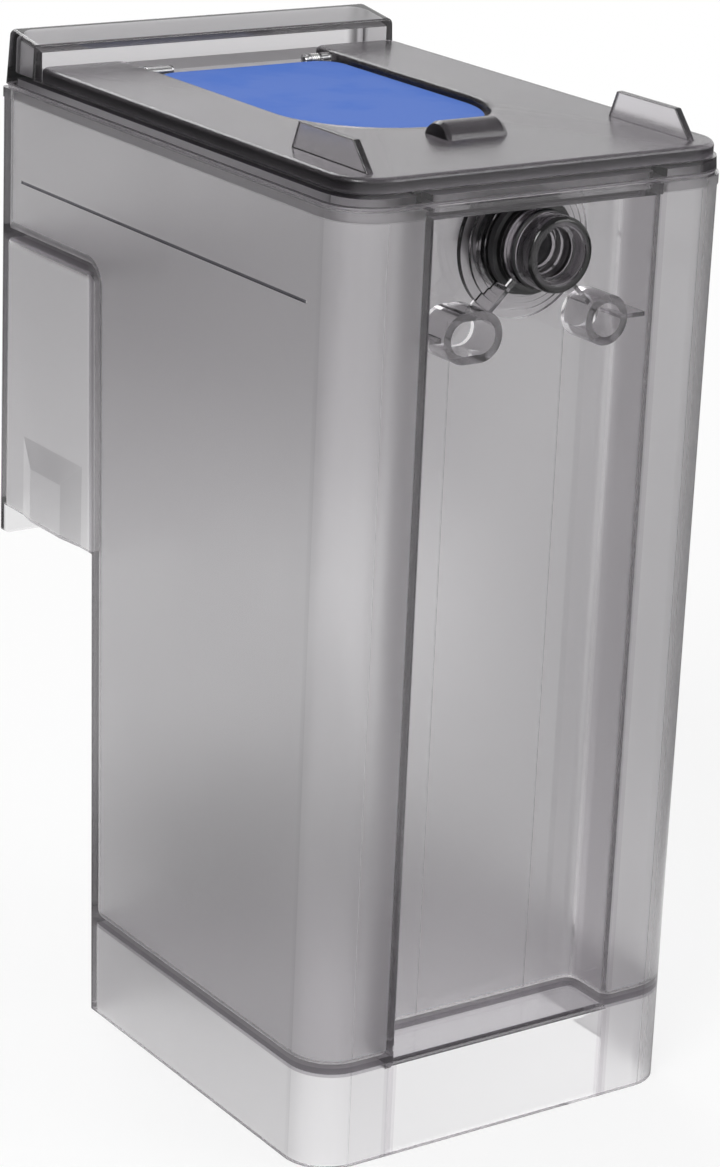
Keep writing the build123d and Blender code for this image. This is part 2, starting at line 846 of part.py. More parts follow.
lid_base.part.label = "lid_base"
export_step(lid_base.part, "parts/lid_base.step")

with BuildPart() as lid_gasket:
    extrude(
        to_extrude=footprint(lid_z - gasket_thickness, gasket_inset, rear_corner),
        amount=gasket_thickness,
    )
    extrude(
        to_extrude=footprint(
            lid_z - gasket_thickness, gasket_inset + gasket_width, rear_inner_corner
        ),
        amount=gasket_thickness,
        mode=Mode.SUBTRACT,
    )

lid_gasket.part.label = "lid_gasket"
export_step(lid_gasket.part, "parts/lid_gasket.step")

with BuildPart() as lid_top_plate:
    with BuildSketch(Plane.XY.offset(lid_top)) as plate_plan:
        with Locations((0, (front_y + slab_front_inset + slab_rear) / 2)):
            Rectangle(2 * slab_half, slab_rear - front_y - slab_front_inset)
        fillet(plate_plan.vertices().group_by(Axis.Y)[0], slab_corner)
        add(
            bay(lid_top, 0, bay_front, slab_rear - front_y + overrun, bay_corner, 0),
            mode=Mode.SUBTRACT,
        )
        fillet(plate_plan.vertices().group_by(Axis.Y)[-1], slab_rear_corner)
    extrude(amount=slab_height)
    top_edges = lid_top_plate.faces().sort_by(Axis.Z)[-1].edges()
    fillet(top_edges, slab_round)
    # ridge in front of the flap
    with BuildSketch(Plane.YZ):
        with BuildLine():
            ThreePointArc(
                (front_y + ridge_front, slab_top),
                (front_y + (ridge_front + ridge_rear) / 2, slab_top + ridge_height),
                (front_y + ridge_rear, slab_top),
            )
            Polyline(
                (front_y + ridge_rear, slab_top),
                (front_y + ridge_rear, slab_top - ridge_sink),
                (front_y + ridge_front, slab_top - ridge_sink),
                (front_y + ridge_front, slab_top),
            )
        make_face()
    extrude(amount=ridge_width / 2, both=True)
    # grip fins
    for side in (1, -1):
        with BuildSketch(Plane.YZ.offset(side * fin_offset)):
            with BuildLine():
                Polyline(
                    (front_y + fin_front, slab_top - ridge_sink),
                    (front_y + fin_front, slab_top),
                    (front_y + fin_front + fin_front_rake, slab_top + fin_height),
                    (front_y + fin_rear - fin_rear_rake, slab_top + fin_height),
                    (front_y + fin_rear, slab_top),
                    (front_y + fin_rear, slab_top - ridge_sink),
                    close=True,
                )
            make_face()
        extrude(amount=fin_thickness / 2, both=True)
    soft_edges = lid_top_plate.edges().filter_by(
        lambda e: e.center().Z > slab_top + fin_round
        and abs(abs(e.center().X) - fin_offset) < fin_thickness
    )
    fillet(soft_edges, fin_round)
    ridge_ends = lid_top_plate.edges().filter_by(
        lambda e: e.center().Z > slab_top + fin_round
        and abs(abs(e.center().X) - ridge_width / 2) < mark_cut
    )
    chamfer(ridge_ends, ridge_slope, ridge_slope / 2)
    # blind holes for the hinge pins
    with BuildSketch(Plane.YZ.offset(-bay_half - pin_bite)):
        with Locations((hinge_y, hinge_z)):
            Circle(pin_radius + pin_fit)
    extrude(amount=bay_width + 2 * pin_bite, mode=Mode.SUBTRACT)

lid_top_plate.part.label = "lid_top_plate"
export_step(lid_top_plate.part, "parts/lid_top_plate.step")

with BuildPart() as flap_gasket:
    with BuildSketch(Plane.XY.offset(lid_top - flap_gasket_groove)):
        with Locations((0, fill_y)):
            Circle(fill_radius + flap_gasket_inset + flap_gasket_width)
            Circle(fill_radius + flap_gasket_inset, mode=Mode.SUBTRACT)
    extrude(amount=flap_gasket_groove + flap_gasket_proud)

flap_gasket.part.label = "flap_gasket"
export_step(flap_gasket.part, "parts/flap_gasket.step")

# ---------------------------------------------------------------- flap and hinge
hinge_spans = (
    (-flap_half, -knuckle_start),
    (knuckle_start, coil_start),
    (coil_start + coil_space, flap_half),
)

with BuildPart() as fill_flap:
    extrude(
        to_extrude=bay(
            flap_z,
            flap_clearance,
            bay_front + flap_clearance,
            flap_rear,
            bay_corner - flap_clearance,
            flap_rear_corner,
        ),
        amount=flap_thickness,
    )
    # lip that locates in the filling hole
    with BuildSketch(Plane.XY.offset(flap_z - fill_plug_depth)):
        with Locations((0, fill_y)):
            Circle(fill_radius - fill_plug_clearance)
            Circle(fill_radius - fill_plug_clearance - fill_plug_wall, mode=Mode.SUBTRACT)
    extrude(amount=fill_plug_depth)
    for start, end in hinge_spans:
        with BuildSketch(Plane.YZ.offset(start)):
            with Locations((hinge_y, hinge_z)):
                Circle(knuckle_radius)
        extrude(amount=end - start)
        with BuildSketch(Plane.XY.offset(flap_z)):
            with Locations(((start + end) / 2, hinge_y - flap_rear_corner / 2)):
                Rectangle(end - start, flap_rear_corner)
        extrude(amount=flap_thickness)
    with BuildSketch(Plane.YZ.offset(-flap_half)):
        with Locations((hinge_y, hinge_z)):
            Circle(pin_radius + pin_clearance)
    extrude(amount=2 * flap_half, mode=Mode.SUBTRACT)

fill_flap.part.label = "fill_flap"
export_step(fill_flap.part, "parts/fill_flap.step")

with BuildPart() as flap_panel:
    extrude(
        to_extrude=bay(
            panel_z,
            flap_clearance + panel_inset,
            bay_front + flap_clearance + panel_inset,
            flap_rear - panel_inset,
            bay_corner - flap_clearance - panel_inset,
            flap_rear_corner - panel_inset,
        ),
        amount=panel_thickness,
    )
    fillet(flap_panel.faces().sort_by(Axis.Z)[-1].edges(), panel_edge)

flap_panel.part.label = "flap_panel"
export_step(flap_panel.part, "parts/flap_panel.step")

with BuildPart() as hinge_pin_left:
    with BuildSketch(Plane.YZ.offset(-bay_half - pin_bite)):
        with Locations((hinge_y, hinge_z)):
            Circle(pin_radius)
    extrude(amount=bay_half + pin_bite - knuckle_start)

hinge_pin_left.part.label = "hinge_pin_left"
export_step(hinge_pin_left.part, "parts/hinge_pin_left.step")

with BuildPart() as hinge_pin_right:
    with BuildSketch(Plane.YZ.offset(knuckle_start)):
        with Locations((hinge_y, hinge_z)):
            Circle(pin_radius)
    extrude(amount=bay_half + pin_bite - knuckle_start)

hinge_pin_right.part.label = "hinge_pin_right"
export_step(hinge_pin_right.part, "parts/hinge_pin_right.step")

coil_first = coil_start + coil_gap + coil_wire / 2
coil_last = coil_start + coil_space - coil_gap - coil_wire / 2

with BuildPart() as flap_spring:
    with BuildLine() as coil_path:
        Helix(
            pitch=(coil_last - coil_first) / coil_turns,
            height=coil_last - coil_first,
            radius=coil_radius,
            center=(coil_last, hinge_y, hinge_z),
            direction=(-1, 0, 0),
            lefthand=True,
        )
    with BuildSketch(Plane(coil_path.line @ 0, z_dir=coil_path.line % 0)):
        Circle(coil_wire / 2)
    sweep(path=coil_path.line, is_frenet=True)
    # front leg towards the flap, rear leg along the trough
    front_end = (coil_last, hinge_y - coil_front_leg, hinge_z - coil_radius)
    with BuildSketch(Plane(front_end, z_dir=(0, 1, 0))):
        Circle(coil_wire / 2)
    extrude(amount=coil_front_leg)
    rear_end = (coil_first, hinge_y + coil_rear_leg, hinge_z - coil_radius)
    with BuildSketch(Plane(rear_end, z_dir=(0, -1, 0))):
        Circle(coil_wire / 2)
    extrude(amount=coil_rear_leg)
    with Locations(
        (coil_last, hinge_y, hinge_z - coil_radius),
        (coil_first, hinge_y, hinge_z - coil_radius),
    ):
        Sphere(coil_wire / 2)

flap_spring.part.label = "flap_spring"
export_step(flap_spring.part, "parts/flap_spring.step")
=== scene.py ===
"""Finishes, studio and camera for a smoke-clear canister tank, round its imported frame.

Everything is in metres in the part's own frame: +Z is up, the front faces -Y and the
origin is at the bottom centre of the tank.
"""

import logging
from dataclasses import dataclass
from enum import Enum
from typing import Any, Mapping, Optional, Union

import bpy
import numpy as np
from mathutils import Matrix, Vector


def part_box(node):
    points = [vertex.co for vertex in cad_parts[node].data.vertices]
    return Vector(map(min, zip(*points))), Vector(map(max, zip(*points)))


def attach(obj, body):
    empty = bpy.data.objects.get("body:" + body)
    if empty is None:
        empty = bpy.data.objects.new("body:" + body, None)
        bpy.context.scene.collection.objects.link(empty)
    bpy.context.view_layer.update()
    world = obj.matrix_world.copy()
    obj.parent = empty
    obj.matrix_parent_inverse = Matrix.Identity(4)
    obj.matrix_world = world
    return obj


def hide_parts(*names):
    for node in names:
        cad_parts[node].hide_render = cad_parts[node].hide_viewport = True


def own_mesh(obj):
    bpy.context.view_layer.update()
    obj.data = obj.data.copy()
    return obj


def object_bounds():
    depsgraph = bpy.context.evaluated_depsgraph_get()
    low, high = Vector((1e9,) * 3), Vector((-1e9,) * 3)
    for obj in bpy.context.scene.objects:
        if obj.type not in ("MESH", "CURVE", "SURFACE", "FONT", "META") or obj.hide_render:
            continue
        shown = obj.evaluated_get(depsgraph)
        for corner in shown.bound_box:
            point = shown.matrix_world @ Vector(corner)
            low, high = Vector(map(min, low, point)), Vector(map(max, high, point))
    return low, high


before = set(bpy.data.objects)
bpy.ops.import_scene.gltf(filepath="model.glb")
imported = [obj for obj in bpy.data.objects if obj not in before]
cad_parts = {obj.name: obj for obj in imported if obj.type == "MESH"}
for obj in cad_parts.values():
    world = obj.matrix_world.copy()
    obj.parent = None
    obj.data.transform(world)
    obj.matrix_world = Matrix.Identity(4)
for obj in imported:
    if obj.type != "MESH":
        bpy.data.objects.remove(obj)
cad_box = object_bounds()

log = logging.getLogger("tank")
Pair = tuple[float, float]
Triple = tuple[float, float, float]


# ------------------------------------------------------------------ shader expressions
class Wire:
    """A node's output that joins in Python expressions: each operator adds a node."""

    def __init__(self, tree: "Tree", socket: bpy.types.NodeSocket) -> None:
        """Keeps the tree and the output socket that the expression starts from."""
        self.tree = tree
        self.socket = socket

    def math(self, operation: str, first: "Feed", second: "Feed" = 0.0) -> "Wire":
        """Joins two values with one Math node, set to an operation."""
        return self.tree.node("ShaderNodeMath", {"operation": operation}, {0: first, 1: second})

    def __add__(self, other: "Feed") -> "Wire":
        """Adds a value to this one."""
        return self.math("ADD", self, other)

    def __radd__(self, other: "Feed") -> "Wire":
        """Adds this value to a number."""
        return self.math("ADD", other, self)

    def __sub__(self, other: "Feed") -> "Wire":
        """Takes a value from this one."""
        return self.math("SUBTRACT", self, other)

    def __rsub__(self, other: "Feed") -> "Wire":
        """Takes this value from a number."""
        return self.math("SUBTRACT", other, self)

    def __mul__(self, other: "Feed") -> "Wire":
        """Multiplies this value."""
        return self.math("MULTIPLY", self, other)

    def __rmul__(self, other: "Feed") -> "Wire":
        """Multiplies a number by this value."""
        return self.math("MULTIPLY", other, self)

    def __truediv__(self, other: "Feed") -> "Wire":
        """Divides this value."""
        return self.math("DIVIDE", self, other)

    def __abs__(self) -> "Wire":
        """Drops this value's sign."""
        return self.math("ABSOLUTE", self)

    def __pow__(self, other: "Feed") -> "Wire":
        """Raises this value to a power."""
        return self.math("POWER", self, other)

    def most(self, other: "Feed") -> "Wire":
        """Takes the higher of this value and another."""
        return self.math("MAXIMUM", self, other)

    def distance(self, other: Triple) -> "Wire":
        """Measures how far this place is from another."""
        sockets = {0: self, 1: other}
        return self.tree.node("ShaderNodeVectorMath", {"operation": "DISTANCE"}, sockets, "Value")

    def over(self, low: float, high: float, start: float = 0.0, end: float = 1.0) -> "Wire":
        """Maps this value smoothly from one span to another, held at both ends.

        Args:
            low: The value that becomes start.
            high: The value that becomes end.
            start: The result at and before low.
            end: The result at and past high.

        Returns:
            The mapped value.
        """
        return self.tree.node(
            "ShaderNodeMapRange",
            {"interpolation_type": "SMOOTHSTEP"},
            {"Value": self, "From Min": low, "From Max": high, "To Min": start, "To Max": end},
        )

    def below(self, limit: float, blur: float) -> "Wire":
        """Is 1 where this value is below a limit and 0 above it, blurred on both sides."""
        return self.over(limit - blur, limit + blur, 1.0, 0.0)

    def above(self, limit: float, blur: float) -> "Wire":
        """Is 1 where this value is above a limit and 0 below it, blurred on both sides."""
        return self.over(limit - blur, limit + blur)

    def axis(self, name: str) -> "Wire":
        """Takes one coordinate, X, Y or Z, of this vector."""
        return self.tree.node("ShaderNodeSeparateXYZ", {}, {"Vector": self}, name)


Feed = Union[Wire, float, Triple]


class Tree:
    """A material's or world's shader tree, emptied and given an output."""

    def __init__(self, owner: Any, output: str = "ShaderNodeOutputMaterial") -> None:
        """Empties the owner's tree and adds its output node.

        Args:
            owner: The material or world that holds the tree.
            output: The type of its output node.
        """
        owner.use_nodes = True
        self.graph = owner.node_tree
        self.graph.nodes.clear()
        self.output = self.graph.nodes.new(output)

    def node(
        self,
        kind: str,
        settings: Optional[Mapping[str, Any]] = None,
        sockets: Optional[Mapping[Any, Any]] = None,
        result: Union[int, str] = 0,
    ) -> Wire:
        """Adds one node: its settings first, then its sockets' values and links.

        Args:
            kind: The node's type.
            settings: Its attributes.
            sockets: A value or a wire for each input, by its name or number.
            result: The output to return, by its name or number.

        Returns:
            The chosen output.
        """
        made = self.graph.nodes.new(kind)
        for name, value in (settings or {}).items():
            setattr(made, name, value)
        for name, value in (sockets or {}).items():
            if isinstance(value, Wire):
                self.graph.links.new(value.socket, made.inputs[name])
            elif isinstance(value, tuple) and made.inputs[name].type == "RGBA":
                made.inputs[name].default_value = (*value, 1.0)
            else:
                made.inputs[name].default_value = value
        return Wire(self, made.outputs[result])

    def place(self) -> Wire:
        """Reads where a point lies in the part's frame, in metres."""
        return self.node("ShaderNodeTexCoord", {}, {}, "Object")

    def stretch(self, spot: Wire, scale: Triple) -> Wire:
        """Scales a place along each axis, so that a pattern read at it runs one way."""
        return self.node("ShaderNodeVectorMath", {"operation": "MULTIPLY"}, {0: spot, 1: scale})

    def cloud(self, spot: Wire, grain: float, detail: float = 3.0) -> Wire:
        """Reads a soft noise about 0.5, whose patches are about one grain across."""
        sockets = {"Vector": spot, "Scale": 1.0 / grain, "Detail": detail}
        return self.node("ShaderNodeTexNoise", {}, sockets, "Fac")

    def blend(self, share: Feed, first: Feed, second: Feed) -> Wire:
        """Mixes two colours by a share.

        Args:
            share: How much of the second colour shows.
            first: The colour at 0.
            second: The colour at 1.

        Returns:
            The mixed colour.
        """
        factor, colour_a, colour_b, mixed = 0, 6, 7, 2  # the colour sockets' numbers
        sockets = {factor: share, colour_a: first, colour_b: second}
        return self.node("ShaderNodeMix", {"data_type": "RGBA"}, sockets, mixed)

    def bump(self, height: Wire, depth: float) -> Wire:
        """Turns a height pattern from 0 to 1, so many metres deep, into a tilted normal."""
        sockets = {"Height": height, "Distance": depth, "Strength": 1.0}
        return self.node("ShaderNodeBump", {}, sockets)

    def show(self, surface: Wire, volume: Optional[Wire] = None) -> None:
        """Links the surface, and the volume if there is one, to the output.

        Args:
            surface: The surface shader.
            volume: The shader inside the surface.
        """
        self.graph.links.new(surface.socket, self.output.inputs["Surface"])
        if volume is not None:
            self.graph.links.new(volume.socket, self.output.inputs["Volume"])


# ------------------------------------------------------------------ finishes
@dataclass(frozen=True)
class SmokeClear:
    """A smoke-tinted clear plastic.

    Attributes:
        name: The material's name.
        tint: What one crossing of a surface lets through, in each colour.
        depth: The share of light that a metre inside takes away, as a density.
        inside: The colour that the inside lets through.
        roughness: The polished surface's roughness.
        ior: The plastic's refractive index.
        ripple: How deep its moulding ripple is, in metres.
        shade: What a lamp's light keeps when it crosses a surface.
        clarity: The share of the plastic that is clear, and not milky.
        edge: What a surface that is seen edge-on lets through.
        turning: How far a surface turns away while it takes the edge's tint.
        haze_size: The size of the handling haze's patches in metres.
        haze_span: The noise values at which the haze starts and is full.
        haze: How much rougher the surface is at both.
        ripple_size: The size of the moulding ripple in metres.
    """

    name: str
    tint: Triple = (1.0, 1.0, 1.0)
    depth: float = 120.0
    inside: Triple = (0.40, 0.385, 0.405)
    roughness: float = 0.04
    ior: float = 1.5
    ripple: float = 0.00002
    shade: Triple = (0.80, 0.79, 0.80)
    clarity: float = 1.0
    # edge: What a surface that is seen edge-on lets through, a painted shade that darkens the
    # outlines.
    edge: Triple = (0.25, 0.24, 0.26)
    turning: Pair = (0.72, 0.98)
    haze_size: float = 0.018
    haze_span: Pair = (0.4, 0.7)
    haze: Pair = (0.0, 0.05)
    ripple_size: float = 0.006

    def surface(self, tree: Tree, tint: Feed, roughness: Feed, normal: Wire) -> Wire:
        """Makes the clear shader, which lets lamps through to what stands behind it.

        Args:
            tree: The tree to fill.
            tint: The surface's colour.
            roughness: The surface's roughness.
            normal: The surface's normal.

        Returns:
            The surface shader.
        """
        # Faces seen edge-on take a darker base colour: painted shade along the outlines, standing
        # in for the long path through the plastic and the dim surround.
        facing = tree.node("ShaderNodeLayerWeight", {}, {"Blend": 0.5}, "Facing")
        glass = tree.node(
            "ShaderNodeBsdfPrincipled",
            {},
            {
                "Base Color": tree.blend(facing.over(*self.turning), tint, self.edge),
                "Roughness": roughness,
                "IOR": self.ior,
                "Transmission Weight": self.clarity,
                "Normal": normal,
            },
        )
        open_way = tree.node("ShaderNodeBsdfTransparent", {}, {"Color": self.shade})
        lamp_ray = tree.node("ShaderNodeLightPath", {}, {}, "Is Shadow Ray")
        return tree.node("ShaderNodeMixShader", {}, {0: lamp_ray, 1: glass, 2: open_way})

    def volume(self, tree: Tree) -> Wire:
        """Makes the shader of the smoke inside the plastic."""
        sockets = {"Color": self.inside, "Density": self.depth}
        return tree.node("ShaderNodeVolumeAbsorption", {}, sockets)

    def look(self, tree: Tree, spot: Wire) -> tuple[Feed, Feed]:
        """Tells the tint and the clean surface's roughness, the same all over a plain piece."""
        return self.tint, self.roughness

    def material(self) -> bpy.types.Material:
        """Makes the material, with a faint moulding ripple and light handling haze.

        Returns:
            The material.
        """
        made = bpy.data.materials.new(self.name)
        tree = Tree(made)
        spot = tree.place()
        tint, roughness = self.look(tree, spot)
        haze = tree.cloud(spot, self.haze_size).over(*self.haze_span, *self.haze)
        ripple = tree.cloud(spot, self.ripple_size, 1.0)
        normal = tree.bump(ripple, self.ripple)
        tree.show(self.surface(tree, tint, haze + roughness, normal), self.volume(tree))
        return made


@dataclass(frozen=True)
class CoredSmoke(SmokeClear):
    """Smoke plastic that is polished outside and spark-textured where the mould's core was.

    Attributes:
        frost: The textured faces' roughness.
        frost_and_shade_tint: What one crossing of a textured face lets through; on the lid plate
            it is painted shade on the upright edge.
        mark: What a dark mark lets through.
        end: What the end of a wall lets through, where one looks along the wall: a painted shade.
        recess_shade_tint: What one crossing of a channel side wall's face lets through, darkened
            as painted shade in the recess.
        corner: Where the front corners' centres are, from the middle and along the depth.
        blur: How far the change from one kind of face to another reaches.
    """

    frost: float = 0.5
    frost_and_shade_tint: Triple = (1.0, 0.99, 1.0)
    mark: Triple = (0.05, 0.05, 0.06)
    end: Triple = (0.4, 0.38, 0.41)
    recess_shade_tint: Triple = (0.82, 0.8, 0.82)
    corner: Pair = (0.0475, -0.07175)
    blur: float = 0.0003
    haze_size: float = 0.05
    haze_span: Pair = (0.35, 0.65)
    haze: Pair = (-0.01, 0.03)
    ripple_size: float = 0.012

    def reach(self, spot: Wire) -> Wire:
        """Measures how far a point is outside the box between the front corners' centres.

        Args:
            spot: The point's place in the part's frame.

        Returns:
            The distance, which is a corner's radius all round an outline.
        """
        across = (abs(spot.axis("X")) - self.corner[0]).most(0.0)
        ahead = (self.corner[1] - spot.axis("Y")).most(0.0)
        return (across**2 + ahead**2) ** 0.5

    def inner(self, spot: Wire) -> Wire:
        """Tells which faces the core made: 1 on those and 0 on the outer ones."""
        raise NotImplementedError

    def recess_shade_faces(self, spot: Wire) -> Feed:
        """Tells which faces take the recess's painted shade: none on a plain moulding."""
        return 0.0

    def painted_end_shade(self, spot: Wire) -> Feed:
        """Tells which faces take painted shade at walls' ends: none on a plain moulding."""
        return 0.0

    def marked(self, spot: Wire) -> Feed:
        """Tells which faces are dark marks: none on a plain moulding."""
        return 0.0

    def look(self, tree: Tree, spot: Wire) -> tuple[Feed, Feed]:
        """Sets the tint and the roughness by where a point lies on the moulding.

        Args:
            tree: The tree to fill.
            spot: The point's place in the part's frame.

        Returns:
            The tint and the roughness.
        """
        textured = self.inner(spot)
        # Textured faces' tint, which on the lid plate is painted shade on the upright edge.
        tint = tree.blend(textured, self.tint, self.frost_and_shade_tint)
        # The channel's side walls: painted shade in the recess.
        tint = tree.blend(self.recess_shade_faces(spot), tint, self.recess_shade_tint)
        # Walls' ends and the ledge at the channel's foot: painted shade.
        tint = tree.blend(self.painted_end_shade(spot), tint, self.end)
        tint = tree.blend(self.marked(spot), tint, self.mark)
        return tint, textured * (self.frost - self.roughness) + self.roughness


@dataclass(frozen=True)
class TankSmoke(CoredSmoke):
    """The tank's plastic. Its planes are the middles of the walls.

    Attributes:
        skin: The walls' distance from the box between the front corners' centres.
        wall: The walls' thickness.
        channel_half: Half the channel's width.
        channel_back: The channel's back.
        rear_foot: The lower rear wall at the foot.
        rear_slope: How much further back the rear wall is for each unit up.
        apron: The side aprons' lower edge.
        rear: The upper rear wall.
        floors: The middles of the chamber's and the overhang's floors.
        overhang: Where the overhang's floor starts.
        shell: How far from a channel wall's middle its faces may be.
        lip: How far the channel's rounded lips reach into its mouth.
        level: The level lines' height.
        groove: How far from the middle the level lines' grooves start and end.
        groove_front: The grooves' front end.
        groove_half: Half a groove's height.
        sharp: How far the change at a thin wall's face reaches.
        soft: How far the changes at the channel's back and the grooves' front reach.
        groove_blur: How far the change at a groove's sides reaches.
        outer_blur: How far the change from the walls' middle to their outer faces reaches.
        overhang_blur: How far the change at the overhang's start reaches.
    """

    skin: float = 0.01175
    wall: float = 0.0025
    channel_half: float = 0.03575
    channel_back: float = -0.0685
    rear_foot: float = 0.032
    rear_slope: float = 6.7 / 216.3
    apron: float = 0.1375
    rear: float = 0.0892
    floors: Pair = (0.02825, 0.21755)
    overhang: float = 0.04
    shell: float = 0.0015
    lip: float = 0.002
    level: float = 0.234
    groove: Pair = (0.0595, 0.0603)
    groove_front: float = -0.06825
    groove_half: float = 0.001
    blur: float = 0.0004
    sharp: float = 0.0001
    soft: float = 0.00025
    groove_blur: float = 0.0002
    outer_blur: float = 0.0005
    overhang_blur: float = 0.002

    def behind(self, spot: Wire) -> Wire:
        """Measures how far a point is behind the middle of the lower rear wall."""
        return spot.axis("Y") - spot.axis("Z") * self.rear_slope - self.rear_foot

    def in_channel(self, spot: Wire) -> Wire:
        """Tells what lies ahead of the channel's back."""
        return spot.axis("Y").below(self.channel_back + self.soft, self.soft)

    def ledge(self, spot: Wire) -> Wire:
        """Tells which faces are the ledge at the channel's foot, which takes painted shade.

        Args:
            spot: The point's place in the part's frame.

        Returns:
            The mask.
        """
        inside = abs(spot.axis("X")).below(self.channel_half - self.lip / 2, self.lip / 2)
        level = abs(spot.axis("Z") - self.floors[0]).below(self.shell, self.sharp)
        return inside * level * self.in_channel(spot)

    def inner(self, spot: Wire) -> Wire:
        """Tells which of the tank's faces the core made.

        Args:
            spot: The point's place in the part's frame.

        Returns:
            The mask.
        """
        back, height = spot.axis("Y"), spot.axis("Z")
        within = self.reach(spot).below(self.skin, self.blur) * back.below(self.rear, self.blur)
        channel = abs(spot.axis("X")).below(self.channel_half, self.blur)
        channel = channel * back.below(self.channel_back, self.blur)
        ahead = self.behind(spot).below(0.0, self.blur)
        upper = height.above(self.apron, self.blur)
        return within * ahead.most(upper) * (1.0 - channel)

    def painted_end_shade(self, spot: Wire) -> Wire:
        """Tells where an outer face is the end of a floor or of a rear wall, or the ledge: faces
        that take painted shade.

        Args:
            spot: The point's place in the part's frame.

        Returns:
            The mask.
        """
        back, height = spot.axis("Y"), spot.axis("Z")
        half = self.wall / 2 + self.sharp
        chamber, upper = (abs(height - floor).below(half, self.sharp) for floor in self.floors)
        upper = upper * back.above(self.overhang, self.overhang_blur)
        lower_rear = abs(self.behind(spot)).below(half, self.sharp)
        lower_rear = lower_rear * height.below(self.floors[1] + self.sharp, self.sharp)
        upper_rear = back.above(self.rear - half, self.sharp)
        ends = chamber.most(upper).most(lower_rear).most(upper_rear)
        outer = self.reach(spot).above(self.skin + self.outer_blur, self.outer_blur)
        return (ends * outer).most(self.ledge(spot))

    def recess_shade_faces(self, spot: Wire) -> Wire:
        """Tells which faces are the channel's side walls, which take painted shade in the recess.
        """
        aside = abs(abs(spot.axis("X")) - self.channel_half).below(self.shell, self.sharp)
        return aside * self.in_channel(spot)

    def marked(self, spot: Wire) -> Wire:
        """Tells which faces are inside the level lines.

        Args:
            spot: The point's place in the part's frame.

        Returns:
            The mask.
        """
        start, end = self.groove
        side = abs(spot.axis("X"))
        depth = side.above(start, self.sharp) * side.below(end, self.sharp)
        depth = depth * spot.axis("Y").above(self.groove_front, self.soft)
        return depth * abs(spot.axis("Z") - self.level).below(self.groove_half, self.groove_blur)


@dataclass(frozen=True)
class LidSmoke(CoredSmoke):
    """The lid's plastic. Its planes are the middles of the walls.

    Attributes:
        wall: The lid's edge, as a distance from the box between its corners' centres.
        rear: The hood's rear wall.
        mouth: The hood's open front.
        roof: The roof's height at the open front.
        roof_slope: The roof's rise for each unit back.
        skin: The height of the lid's floor.
    """

    wall: float = 0.0112
    rear: float = 0.0888
    mouth: float = 0.0736
    roof: float = 0.27195
    roof_slope: float = 0.155
    skin: float = 0.2625

    def inner(self, spot: Wire) -> Wire:
        """Tells which of the lid's faces the core made.

        Args:
            spot: The point's place in the part's frame.

        Returns:
            The mask.
        """
        back, height = spot.axis("Y"), spot.axis("Z")
        within = self.reach(spot).below(self.wall, self.blur) * back.below(self.rear, self.blur)
        over_roof = height - (back - self.mouth) * self.roof_slope - self.roof
        behind = back.above(self.mouth + self.blur / 2, self.blur / 2)
        hood = behind * over_roof.below(0.0, self.blur)
        return within * hood.most(height.below(self.skin, self.blur))


@dataclass(frozen=True)
class PlateSmoke(CoredSmoke):
    """The lid plate's plastic, whose upright edge is darker than its top by painted shade.

    Attributes:
        side: The upright edge's distance from the box between the corners' centres.
        rise: The height up to which the edge is upright.
    """

    side: float = 0.0107
    rise: float = 0.2662

    def inner(self, spot: Wire) -> Wire:
        """Tells which of the plate's faces are its upright edge, which takes painted shade."""
        outer = self.reach(spot).above(self.side, self.blur)
        return outer * spot.axis("Z").below(self.rise, self.blur)


@dataclass(frozen=True)
class Moulded:
    """An opaque moulded plastic or rubber.

    Attributes:
        name: The material's name.
        colour: Its colour.
        worn: The colour of its rubbed and dusty patches.
        roughness: Its roughness where it is clean.
        grain: The size of its surface texture in metres.
        relief: The depth of that texture in metres.
        patch: The size of its patches in metres.
        patch_span: The noise values at which a patch starts and is full.
        wear: How much rougher a patch is.
        shine: How strongly it mirrors, with 0.5 for common plastic.
    """

    name: str
    colour: Triple
    worn: Triple
    roughness: float = 0.4
    grain: float = 0.0004
    relief: float = 0.000008
    patch: float = 0.006
    patch_span: Pair = (0.42, 0.72)
    wear: float = 0.12
    shine: float = 0.5

    def material(self) -> bpy.types.Material:
        """Makes the material, with rougher patches and a fine grain.

        Returns:
            The material.
        """
        made = bpy.data.materials.new(self.name)
        tree = Tree(made)
        spot = tree.place()
        patches = tree.cloud(spot, self.patch).over(*self.patch_span)
        grain = tree.cloud(spot, self.grain, 2.0)
        shader = tree.node(
            "ShaderNodeBsdfPrincipled",
            {},
            {
                "Base Color": tree.blend(patches, self.colour, self.worn),
                "Roughness": patches * self.wear + self.roughness,
                "Specular IOR Level": self.shine,
                "Normal": tree.bump(grain, self.relief),
            },
        )
        tree.show(shader)
        return made


@dataclass(frozen=True)
class DrawnSteel:
    """Bright drawn wire and rod.

    Attributes:
        name: The material's name.
        colour: The metal's colour.
        roughness: Its roughness.
        along: How much finer the draw marks are across the wire than along it, per axis.
        mark_size: The draw marks' width in metres.
        mark_span: The noise values between which a mark changes.
        marks: How much smoother or rougher the surface is at both.
        relief: The marks' depth in metres.
    """

    name: str
    colour: Triple = (0.80, 0.80, 0.79)
    roughness: float = 0.22
    along: Triple = (0.08, 1.0, 1.0)
    mark_size: float = 0.00015
    mark_span: Pair = (0.3, 0.7)
    marks: Pair = (-0.06, 0.12)
    relief: float = 0.000004

    def material(self) -> bpy.types.Material:
        """Makes the material, with draw marks along the wire.

        Returns:
            The material.
        """
        made = bpy.data.materials.new(self.name)
        tree = Tree(made)
        marks = tree.cloud(tree.stretch(tree.place(), self.along), self.mark_size, 2.0)
        shader = tree.node(
            "ShaderNodeBsdfPrincipled",
            {},
            {
                "Base Color": self.colour,
                "Metallic": 1.0,
                "Roughness": marks.over(*self.mark_span, *self.marks) + self.roughness,
                "Normal": tree.bump(marks, self.relief),
            },
        )
        tree.show(shader)
        return made


